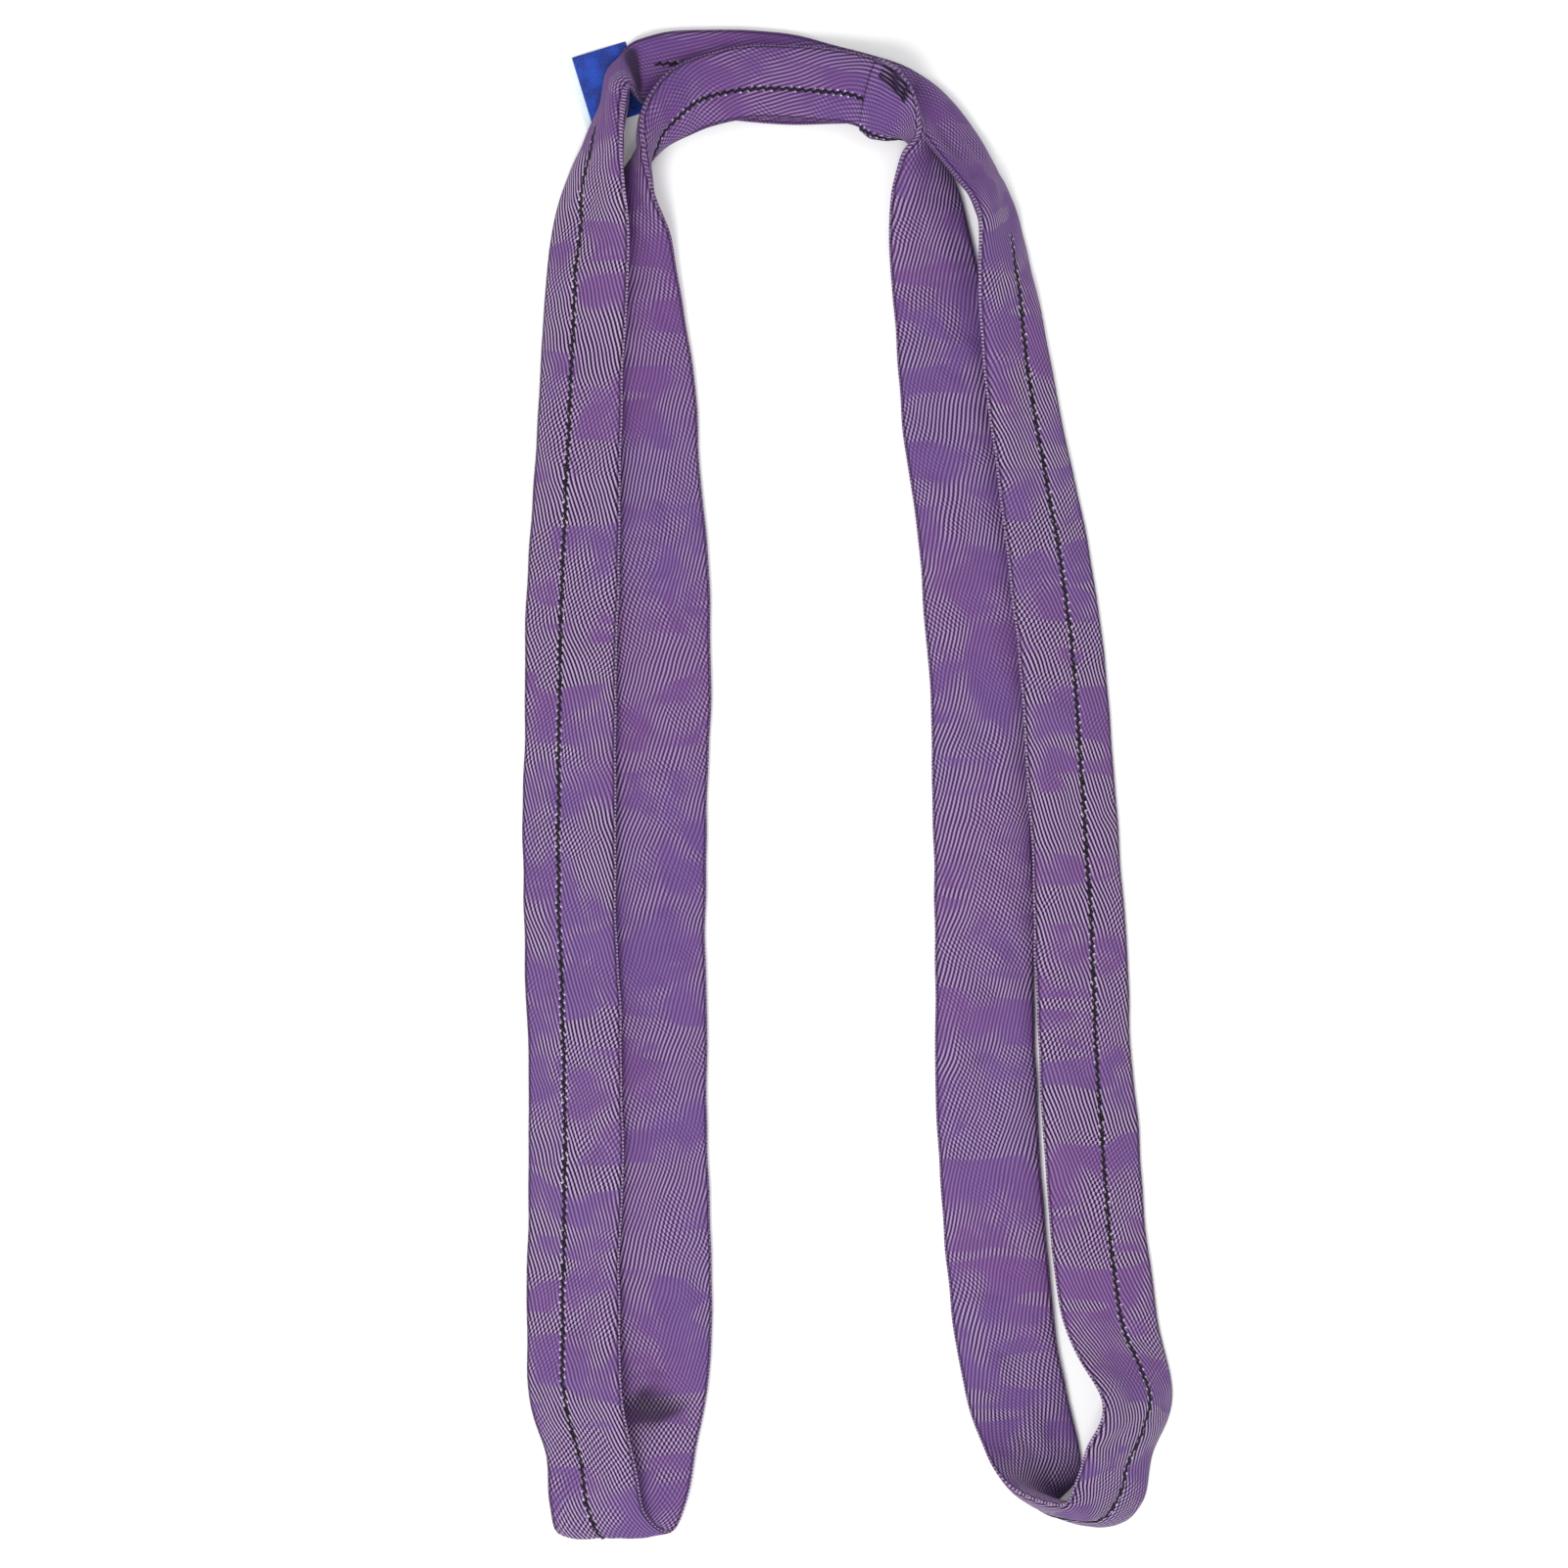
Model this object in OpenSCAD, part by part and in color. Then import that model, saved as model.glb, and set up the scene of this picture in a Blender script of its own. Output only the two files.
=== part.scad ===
// Round sling: one endless tubular jacket over a yarn core, laid flat on the ground as an
// upside-down U, so that each leg holds two strands and ends in an eye.
// +Z is up, the long way is Y, and the ground is z = 0. Every size is in millimetres.

/* [Band] */
// Width of the flattened jacket
band_w = 46; // [40:1:50]
// Thickness of the flattened jacket with its core inside
band_t = 7; // [6:0.5:8]
// Thickness of the jacket cloth
wall = 1.1; // [1:0.1:1.4]
// Room between the jacket and the core
core_room = 0.7; // [0.6:0.1:0.9]

/* [Folding] */
// Length of bare band that each fold line leaves between two sections
fold_gap = 12; // [10:1:16]

/* [Seam] */
// Width of the seam thread
seam_w = 1.4; // [1:0.1:2]
// Thickness of the seam thread, which lies sunk in the cloth
seam_h = 0.5; // [0.3:0.1:0.6]
// Distance of the seam from the middle of the band, as a share of the band width
seam_offset = 0.1; // [0:0.02:0.2]
// Distance of the cuff's seam from the middle of the band, as a share of the band width
cuff_seam_offset = 0.24; // [0.2:0.02:0.28]

/* [Cuff] */
// Length of the jacket end that is pushed into the cuff
tuck_l = 10; // [8:1:12]
// Distance that the cuff stands out from the jacket
cuff_lift = 1.9; // [1.8:0.1:2.2]
// Number of tack stitches across the cuff
tack_count = 5; // [3:1:7]

/* [Label] */
// Width of the label
label_w = 26; // [20:1:30]
// Length of the label
label_l = 34; // [32:1:38]
// Thickness of the label
label_t = 0.8; // [0.5:0.1:1.2]
// Margin of the clear cover beyond the label's left edge
cover_margin = 3.6; // [2:0.2:5]
// Thickness of the clear cover
cover_t = 0.3; // [0.2:0.1:0.4]

/* [Hidden] */

violet = [0.45, 0.28, 0.58];
yarn_white = [0.92, 0.91, 0.86];
thread_black = [0.06, 0.05, 0.07];
label_blue = [0.04, 0.28, 0.72];
clear_film = [0.80, 0.87, 0.95, 0.5];

// The band is a closed curve through these stations, in order round the loop.
// Each one holds x, y, the height of the low rim above the ground, the compass direction from
// the low rim to the high rim, the tilt of that line, and the width as a share of band_w.
STATIONS = [
    // top strand, outer
    [-20, 325, 0, -90, 0, 0.90], [-56, 328, 0, -90, 0, 0.90], [-79, 329, 0, -90, 0, 0.84],
    [-93, 329, 2, -86, 3, 0.74], [-106, 327, 4, -50, 60, 0.66],
    // left leg, outer strand, down to the eye
    [-111, 316, 3, -18, 68, 0.66], [-117, 297, 2, -4, 58, 0.80], [-120, 278, 0.5, 0, 46, 0.88],
    [-120, 256, 0, 0, 32, 0.92], [-121, 215, 0, 0, 20, 0.90], [-123, 174, 0, 0, 16, 0.88],
    [-127, 74, 0, 0, 12, 0.95], [-128, -44, 0, 0, 12, 0.97], [-125, -148, 0, 0, 12, 0.97],
    [-126, -243, 0, 0, 12, 0.96],
    // left eye
    [-126, -284, 3.2, -2, 12, 1.0], [-119, -312, 7, -6, 9, 0.88], [-115, -334, 13.5, -6, 4, 0.94],
    [-107, -346, 7, 0, 0, 1.14], [-98, -334, 0.3, 2, 2, 1.05], [-92, -307, 0, 2, 1, 1.0],
    [-86, -275, 0, 0, 0, 1.0],
    // left leg, inner strand, up to the turnover
    [-85, -243, 0, 0, 0, 1.0], [-87, -148, 0, 0, 0, 0.985], [-88, -44, 0, 0, 0, 1.0],
    [-86, 74, 0, 0, 0, 1.0], [-91, 174, 0, 0, 0, 0.95], [-95, 219, 0, 0, 1.5, 0.88],
    [-97, 253, 0, -4, 10, 0.80],
    // left turnover
    [-97, 275, 0, -10, 40, 0.70], [-93, 291, 2, 50, 84, 0.66], [-85, 304, 8, 132, 40, 0.68],
    // top strand, inner, lying on the outer one
    [-70, 317, 9.5, 108, 4, 0.75], [-44, 324, 9, 92, 0, 0.74], [-13, 323, 9, 86, 0, 0.74],
    [7, 320, 11, 80, 4, 0.72],
    // right turnover
    [22, 311, 9.5, 62, 34, 0.64], [32, 302, 2, 60, 82, 0.58], [36, 288, 0, 176, 44, 0.64],
    // right leg, inner strand, down to the eye
    [37, 270, 0, 180, 16, 0.74], [40, 243, 0, 180, 2, 0.84], [44, 215, 0, 180, 0, 0.92],
    [47, 174, 0, 180, 0, 0.94], [60, 74, 0, 180, 0, 1.0], [64, -44, 0, 180, 0, 1.02],
    [65, -148, 0, 180, 0, 1.02], [72, -243, 0, 180, 0, 1.02],
    // right eye
    [78, -280, 0, 178, 4, 1.03], [84, -311, 0, 165, 34, 1.0], [91, -336, 0, 152, 62, 0.95],
    [108, -339, 0, 156, 56, 0.95], [122, -328, 0, 164, 46, 0.95], [129, -309, 0, 172, 48, 0.98],
    [134, -284, 0, 180, 40, 1.0],
    // right leg, outer strand, up to the top
    [121, -243, 0, 180, 12, 1.0], [112, -148, 0, 180, 12, 0.98], [107, -44, 0, 180, 13, 0.93],
    [98, 74, 0, 180, 15, 0.88], [82, 174, 0, 180, 19, 0.78], [77, 210, 0, 180, 30, 0.76],
    [73, 237, 0, 180, 48, 0.80], [69, 265, 0, 186, 62, 0.80],
    // right corner
    [63, 290, 0, 205, 66, 0.74], [53, 310, 0, 226, 66, 0.66], [40, 325, 0.3, 245, 50, 0.56],
    [16, 328, 0.6, 268, 4, 0.74]
];
COUNT = len(STATIONS);
// Middle of the laid-out sling in the stations' own measure, which becomes the origin.
CENTRE = [1.29, -0.15];
// Least height of the band above the ground.
GROUND_ROOM = 0.21;

// Stations that lie on the fold lines, named by leg and strand.
L_UP_OUT = 10;
L_MID_OUT = 12;
L_LOW_OUT = 14;
L_LOW_IN = 22;
L_MID_IN = 24;
L_UP_IN = 26;
R_UP_IN = 42;
R_MID_IN = 44;
R_LOW_IN = 46;
R_LOW_OUT = 54;
R_MID_OUT = 56;
R_UP_OUT = 58;
// Place on the curve where the cuff's mouth lies.
CUFF = 35.2;
// Share of the curve over which the cuff's seam drifts back to the usual place.
CUFF_DRIFT = 6;
// Share of the curve by which the covered seam stops short of the cuff's mouth.
MOUTH_ROOM = 0.03;

// Spacing of the rings along the curve, on the straight runs and in the bends.
LEG_STEP = 0.25;
BEND_STEP = 0.3;
// Points on each rounded edge of the band.
EDGE_POINTS = 4;
// Bare distance that keeps two touching pieces apart.
CLEAR = 0.15;

// Thickness of the band where it is gathered to a share of its width.
function thick(share) = band_t / sqrt(share);

// Middle of the band at one station: the low rim's round edge stands on its height.
function middle(s) =
    let (r = thick(s[5]) / 2)
    [s[0] - CENTRE[0], s[1] - CENTRE[1], GROUND_ROOM + s[2] + r + (band_w * s[5] / 2 - r) * sin(s[4])];

// Unit line from the low rim to the high rim at one station.
function across(s) = [cos(s[4]) * cos(s[3]), cos(s[4]) * sin(s[3]), sin(s[4])];

function key(i) =
    let (s = STATIONS[(i + 2 * COUNT) % COUNT])
    concat(middle(s), across(s), [s[5]]);

function blend4(a, b, c, d, t) =
    0.5 * (2 * b + (c - a) * t + (2 * a - 5 * b + 4 * c - d) * t * t + (3 * b - a - 3 * c + d) * t * t * t);

// Place, rim line and width share at any point u of the curve.
function at(u) =
    let (i = floor(u))
    blend4(key(i - 1), key(i), key(i + 1), key(i + 2), u - i);

function place(u) = let (k = at(u)) [k[0], k[1], k[2]];
function unit(v) = v / norm(v);

// Share of a step that covers half a fold gap at station i.
function gap_share(i) = fold_gap / norm(place(i + 1) - place(i - 1));

// A flat-oval outline of the given width and thickness, centred on zero.
function flat_oval(w, t) =
    [for (side = [0, 1], i = [0 : EDGE_POINTS - 1])
        let (a = -90 + 180 * i / (EDGE_POINTS - 1) + 180 * side)
        [(1 - 2 * side) * (w - t) / 2 + t / 2 * cos(a), t / 2 * sin(a)]];

// A rectangle of width w between two distances from the stitched face, measured outwards.
function face_bar(u, offset, w, low, high) =
    let (k = at(u), face = thick(k[6]) / 2, mid = offset * band_w * k[6])
    [[mid - w / 2, face + low], [mid + w / 2, face + low],
     [mid + w / 2, face + high], [mid - w / 2, face + high]];

function band_outline(u, outset) =
    let (k = at(u))
    flat_oval(band_w * k[6] + 2 * outset, thick(k[6]) + 2 * outset);

// An outline set in space at point u. Its x runs to the high rim, its y to the stitched face.
function ring(u, outline) =
    let (
        k = at(u),
        side = unit([k[3], k[4], k[5]]),
        run = unit(place(u + 0.02) - place(u - 0.02)),
        face = unit(cross(run, side))
    )
    [for (p = outline) [k[0], k[1], k[2]] + side * p[0] + face * p[1]];

// A closed solid through a row of rings that have equal numbers of points. Flip turns the line
// that splits each side's quads the other way.
module loft(rings, flip = false) {
    n = len(rings[0]);
    last = len(rings) - 1;
    sides = [for (j = [0 : last - 1], i = [0 : n - 1])
        let (a = j * n + i, b = j * n + (i + 1) % n)
        each flip ? [[a, a + n, b], [b, a + n, b + n]] : [[a, b + n, b], [a, a + n, b + n]]];
    caps = [[for (i = [0 : n - 1]) i], [for (i = [n - 1 : -1 : 0]) last * n + i]];
    polyhedron(points = [for (r = rings) each r], faces = concat(sides, caps), convexity = 12);
}

// Evenly spaced points of the curve between two ends, both included.
function spread(a, b, step) =
    let (n = ceil((b - a) / step))
    [for (i = [0 : n]) a + (b - a) * i / n];

// Points across the stitched face, from the high rim's side to the low rim's, where the seam runs:
// a groove of the given depth, or four points in line, spread wider, where the depth is zero.
function groove(mid, w, top, depth) =
    let (half = w / 2, mouth = depth > 0 ? half : 1.6 * half, floor_half = depth > 0 ? half : half / 3)
    [[mid + mouth, top], [mid + floor_half, top - depth],
     [mid - floor_half, top - depth], [mid - mouth, top]];

// Place of the seam across the band, as a share of its width: the cuff's own seam lies nearer to
// the low rim, and drifts back to the usual place along the leg.
function seam_mid(u, cuffed) =
    let (t = cuffed ? max(0, 1 - (u - CUFF) / CUFF_DRIFT) : 0)
    -seam_offset - (cuff_seam_offset - seam_offset) * t;

// Distance that the cuff stands out: full at its mouth, none past the tuck.
function cuff_outset(u, cuffed) =
    let (t = max(0, min(1, (CUFF + 2 * TUCK - u) / TUCK)))
    cuffed ? cuff_lift * t * t * (3 - 2 * t) : 0;

// The band's outline grown by outset, with the seam's groove cut to the given depth.
function grooved(u, outset, depth, cuffed) =
    let (
        k = at(u),
        grown = outset + cuff_outset(u, cuffed),
        oval = band_outline(u, grown),
        half = len(oval) / 2,
        mid = seam_mid(u, cuffed) * band_w * k[6],
        cut = groove(mid, seam_w + 2 * CLEAR, thick(k[6]) / 2 + grown, depth)
    )
    concat([for (i = [0 : half - 1]) oval[i]], cut, [for (i = [half : len(oval) - 1]) oval[i]]);

// A tube through matching rows of outer and inner rings, open at both ends.
module tube(outer, inner) {
    n = len(outer[0]);
    rows = len(outer);
    last = rows - 1;
    shift = rows * n;
    walls = [for (j = [0 : last - 1], i = [0 : n - 1])
        let (a = j * n + i, b = j * n + (i + 1) % n)
        each [[a, b + n, b], [a, a + n, b + n],
              [a + shift, b + shift, b + n + shift], [a + shift, b + n + shift, a + n + shift]]];
    rims = [for (i = [0 : n - 1])
        let (j = (i + 1) % n, end = last * n)
        each [[i, j, j + shift, i + shift],
              [end + j, end + i, end + i + shift, end + j + shift]]];
    polyhedron(points = concat([for (r = outer) each r], [for (r = inner) each r]),
               faces = concat(walls, rims), convexity = 12);
}

// Jacket section: a tube of cloth with a groove for the sunken seam.
module jacket(us, cuffed = false) {
    color(violet)
    tube([for (u = us) ring(u, grooved(u, 0, seam_h + CLEAR, cuffed))],
         [for (u = us) ring(u, grooved(u, -wall, 0, cuffed))]);
}

// The core lies clear of the jacket's wall. The cuff's widening doesn't reach it.
function band_core_outline(u) =
    let (k = at(u), past = u > CUFF + TUCK / 2 && u < R_UP_IN)
    grooved(u, -wall - core_room - cuff_outset(u, past), 0, past);

// Core section: the bundle of load-bearing yarn inside the jacket.
module core(us) {
    color(yarn_white)
    loft([for (u = us) ring(u, band_core_outline(u))]);
}

// Seam section: the thread line sewn along the stitched face.
module seam(us, cuffed = false) {
    color(thread_black)
    loft([for (u = us)
        let (out = cuff_outset(u, cuffed))
        ring(u, face_bar(u, seam_mid(u, cuffed), seam_w, out - seam_h, out))], flip = true);
}

// Points of a section that runs between the gaps at two fold lines.
function from(i) = i + gap_share(i);
function upto(i) = i - gap_share(i);
function leg_run(i, j) = spread(from(i), upto(j), LEG_STEP);
function bend_run(i, j) = spread(from(i), upto(j), BEND_STEP);

// Top strands, between the two upper fold lines. The inner one is made of two jacket ends,
// one tucked inside the other.
TOP_OUTER = spread(from(R_UP_OUT), COUNT + upto(L_UP_OUT), BEND_STEP);
TUCK = tuck_l / norm(place(CUFF + 0.5) - place(CUFF - 0.5));
BEFORE_CUFF = spread(from(L_UP_IN), CUFF, BEND_STEP);
IN_CUFF = tail(spread(CUFF, CUFF + TUCK, BEND_STEP));
PAST_CUFF = tail(spread(CUFF + TUCK, upto(R_UP_IN), BEND_STEP));
function tail(list) = [for (i = [1 : len(list) - 1]) list[i]];

module jacket_top_outer() { jacket(TOP_OUTER); }
module core_top_outer() { core(TOP_OUTER); }
module seam_top_outer() { seam(TOP_OUTER); }
module jacket_top_inner() { jacket(concat(BEFORE_CUFF, IN_CUFF)); }
module core_top_inner() { core(concat(BEFORE_CUFF, IN_CUFF, PAST_CUFF)); }
module seam_top_inner() { seam([for (u = BEFORE_CUFF) min(u, CUFF - MOUTH_ROOM)]); }
module jacket_top_cuff() { jacket(concat([CUFF], IN_CUFF, PAST_CUFF), cuffed = true); }
module seam_top_cuff() { seam(concat([CUFF], IN_CUFF, PAST_CUFF), cuffed = true); }

// Places along the curve, past the cuff's mouth, where the tack stitches start and end.
TACK_START = 0.12;
TACK_END = 0.3;
// Place of the first tack across the band, and the room that the row takes up, as shares of its width.
TACK_FIRST = 0.06;
TACK_ROW = 0.28;

// Short black stitches that hold the cuff to the tucked end.
module cuff_tacks() {
    low = cuff_lift + 2 * CLEAR;
    color(thread_black)
    for (i = [0 : tack_count - 1]) {
        offset = TACK_FIRST + TACK_ROW * i / (tack_count - 1);
        loft([for (u = [CUFF + TACK_START, CUFF + TACK_END])
            ring(u, face_bar(u, offset, seam_w, low, low + seam_h))]);
    }
}

// Left leg.
module jacket_left_upper_outer() { jacket(leg_run(L_UP_OUT, L_MID_OUT)); }
module core_left_upper_outer() { core(leg_run(L_UP_OUT, L_MID_OUT)); }
module seam_left_upper_outer() { seam(leg_run(L_UP_OUT, L_MID_OUT)); }
module jacket_left_upper_inner() { jacket(leg_run(L_MID_IN, L_UP_IN)); }
module core_left_upper_inner() { core(leg_run(L_MID_IN, L_UP_IN)); }
module seam_left_upper_inner() { seam(leg_run(L_MID_IN, L_UP_IN)); }
module jacket_left_lower_outer() { jacket(leg_run(L_MID_OUT, L_LOW_OUT)); }
module core_left_lower_outer() { core(leg_run(L_MID_OUT, L_LOW_OUT)); }
module seam_left_lower_outer() { seam(leg_run(L_MID_OUT, L_LOW_OUT)); }
module jacket_left_lower_inner() { jacket(leg_run(L_LOW_IN, L_MID_IN)); }
module core_left_lower_inner() { core(leg_run(L_LOW_IN, L_MID_IN)); }
module seam_left_lower_inner() { seam(leg_run(L_LOW_IN, L_MID_IN)); }
module jacket_left_eye() { jacket(bend_run(L_LOW_OUT, L_LOW_IN)); }
module core_left_eye() { core(bend_run(L_LOW_OUT, L_LOW_IN)); }
module seam_left_eye() { seam(bend_run(L_LOW_OUT, L_LOW_IN)); }

// Right leg.
module jacket_right_upper_outer() { jacket(leg_run(R_MID_OUT, R_UP_OUT)); }
module core_right_upper_outer() { core(leg_run(R_MID_OUT, R_UP_OUT)); }
module seam_right_upper_outer() { seam(leg_run(R_MID_OUT, R_UP_OUT)); }
module jacket_right_upper_inner() { jacket(leg_run(R_UP_IN, R_MID_IN)); }
module core_right_upper_inner() { core(leg_run(R_UP_IN, R_MID_IN)); }
module seam_right_upper_inner() { seam(leg_run(R_UP_IN, R_MID_IN)); }
module jacket_right_lower_outer() { jacket(leg_run(R_LOW_OUT, R_MID_OUT)); }
module core_right_lower_outer() { core(leg_run(R_LOW_OUT, R_MID_OUT)); }
module seam_right_lower_outer() { seam(leg_run(R_LOW_OUT, R_MID_OUT)); }
module jacket_right_lower_inner() { jacket(leg_run(R_MID_IN, R_LOW_IN)); }
module core_right_lower_inner() { core(leg_run(R_MID_IN, R_LOW_IN)); }
module seam_right_lower_inner() { seam(leg_run(R_MID_IN, R_LOW_IN)); }
module jacket_right_eye() { jacket(bend_run(R_LOW_IN, R_LOW_OUT)); }
module core_right_eye() { core(bend_run(R_LOW_IN, R_LOW_OUT)); }
module seam_right_eye() { seam(bend_run(R_LOW_IN, R_LOW_OUT)); }

// Label: a rectangle turned about the ground's normal. It folds along the line where the band
// holds it, from its top right corner down to its left edge.
// Top left corner, turn, drop of the fold line down the left edge, height above the ground, and
// half the slit that the fold line leaves between the loose and the sewn side.
LABEL_CORNER = [-127, 336] - CENTRE;
LABEL_TURN = 17;
FOLD_DROP = 26;
LABEL_REST = 0.2;
FOLD_SLIT = 0.3;

// Strip on one side of the label's fold line: 1 is the loose side, -1 the sewn side.
module fold_side(side) {
    reach = 3 * label_l;
    translate([0, -FOLD_DROP])
    rotate(atan2(FOLD_DROP, label_w))
    translate([-reach / 2, side > 0 ? FOLD_SLIT : -FOLD_SLIT - reach])
    square([reach, reach]);
}

module label_plate(margin, side, low, high) {
    translate([LABEL_CORNER[0], LABEL_CORNER[1], low])
    rotate(LABEL_TURN)
    linear_extrude(high - low)
    intersection() {
        translate([-margin, -label_l])
        square([label_w + margin, label_l]);
        fold_side(side);
    }
}

module label_flap() {
    color(label_blue)
    label_plate(0, 1, LABEL_REST, LABEL_REST + label_t);
}

module label_hem() {
    color(label_blue)
    label_plate(0, -1, LABEL_REST, LABEL_REST + label_t);
}

module label_cover() {
    low = LABEL_REST + label_t + CLEAR;
    color(clear_film)
    label_plate(cover_margin, 1, low, low + cover_t);
}

// Stitches along the label's sewn end: their number, pitch, size and height above that end.
STITCH_COUNT = 5;
STITCH_PITCH = 4;
STITCH_SIZE = [2, 0.6, 0.3];
STITCH_RISE = 3;

// A row of short stitches through the label's sewn end.
module label_stitches() {
    color(thread_black)
    translate([LABEL_CORNER[0], LABEL_CORNER[1], LABEL_REST + label_t + CLEAR])
    rotate(LABEL_TURN)
    for (i = [1 : STITCH_COUNT])
        translate([i * STITCH_PITCH, STITCH_RISE - label_l, 0])
        cube(STITCH_SIZE);
}

jacket_top_outer();
jacket_top_inner();
jacket_top_cuff();
core_top_outer();
core_top_inner();
seam_top_outer();
seam_top_inner();
seam_top_cuff();
cuff_tacks();
jacket_left_upper_outer();
jacket_left_upper_inner();
core_left_upper_outer();
core_left_upper_inner();
seam_left_upper_outer();
seam_left_upper_inner();
jacket_left_lower_outer();
jacket_left_lower_inner();
core_left_lower_outer();
core_left_lower_inner();
seam_left_lower_outer();
seam_left_lower_inner();
jacket_left_eye();
core_left_eye();
seam_left_eye();
jacket_right_upper_outer();
jacket_right_upper_inner();
core_right_upper_outer();
core_right_upper_inner();
seam_right_upper_outer();
seam_right_upper_inner();
jacket_right_lower_outer();
jacket_right_lower_inner();
core_right_lower_outer();
core_right_lower_inner();
seam_right_lower_outer();
seam_right_lower_inner();
jacket_right_eye();
core_right_eye();
seam_right_eye();
label_flap();
label_hem();
label_cover();
label_stitches();
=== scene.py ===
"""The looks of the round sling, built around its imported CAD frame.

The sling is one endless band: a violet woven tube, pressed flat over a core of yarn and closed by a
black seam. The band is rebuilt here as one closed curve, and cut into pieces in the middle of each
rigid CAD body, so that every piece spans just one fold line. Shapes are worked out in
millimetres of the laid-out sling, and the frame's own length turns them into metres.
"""

import math

import bpy
import numpy as np
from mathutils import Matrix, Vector


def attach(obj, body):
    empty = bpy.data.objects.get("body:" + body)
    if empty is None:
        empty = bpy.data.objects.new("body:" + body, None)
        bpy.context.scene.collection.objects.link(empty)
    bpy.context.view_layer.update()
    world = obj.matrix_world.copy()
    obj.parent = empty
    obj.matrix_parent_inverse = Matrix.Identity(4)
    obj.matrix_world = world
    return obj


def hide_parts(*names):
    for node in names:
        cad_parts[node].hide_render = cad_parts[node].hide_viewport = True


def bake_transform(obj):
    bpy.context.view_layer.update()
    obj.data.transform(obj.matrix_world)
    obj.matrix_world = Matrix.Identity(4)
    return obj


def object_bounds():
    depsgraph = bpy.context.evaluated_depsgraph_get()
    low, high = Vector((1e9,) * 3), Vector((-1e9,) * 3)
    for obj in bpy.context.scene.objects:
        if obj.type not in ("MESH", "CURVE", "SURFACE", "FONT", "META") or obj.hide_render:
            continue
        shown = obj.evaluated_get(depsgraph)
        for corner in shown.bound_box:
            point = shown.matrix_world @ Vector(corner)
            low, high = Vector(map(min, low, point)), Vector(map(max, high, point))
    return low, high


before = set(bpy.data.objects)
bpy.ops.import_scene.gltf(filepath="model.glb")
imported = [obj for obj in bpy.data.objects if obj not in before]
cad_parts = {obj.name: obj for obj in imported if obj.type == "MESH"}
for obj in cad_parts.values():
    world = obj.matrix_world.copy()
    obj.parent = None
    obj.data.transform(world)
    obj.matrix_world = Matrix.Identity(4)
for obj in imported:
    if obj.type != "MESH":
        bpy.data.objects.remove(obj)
cad_low, cad_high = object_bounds()

# Length of the laid-out sling in the stations' measure, and metres to each unit of it.
NOMINAL_LENGTH = 697.2
MM = (cad_high.y - cad_low.y) / NOMINAL_LENGTH

# ---------------------------------------------------------------- band

# Width of the flat band, thickness over its core, and thickness of the cloth.
BAND_W = 46.0
BAND_T = 7.0
CLOTH_T = 0.5
# Middle of the laid-out sling in the stations' measure, and least height above the ground.
CENTRE = (1.29, -0.15)
GROUND_ROOM = 0.21

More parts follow.
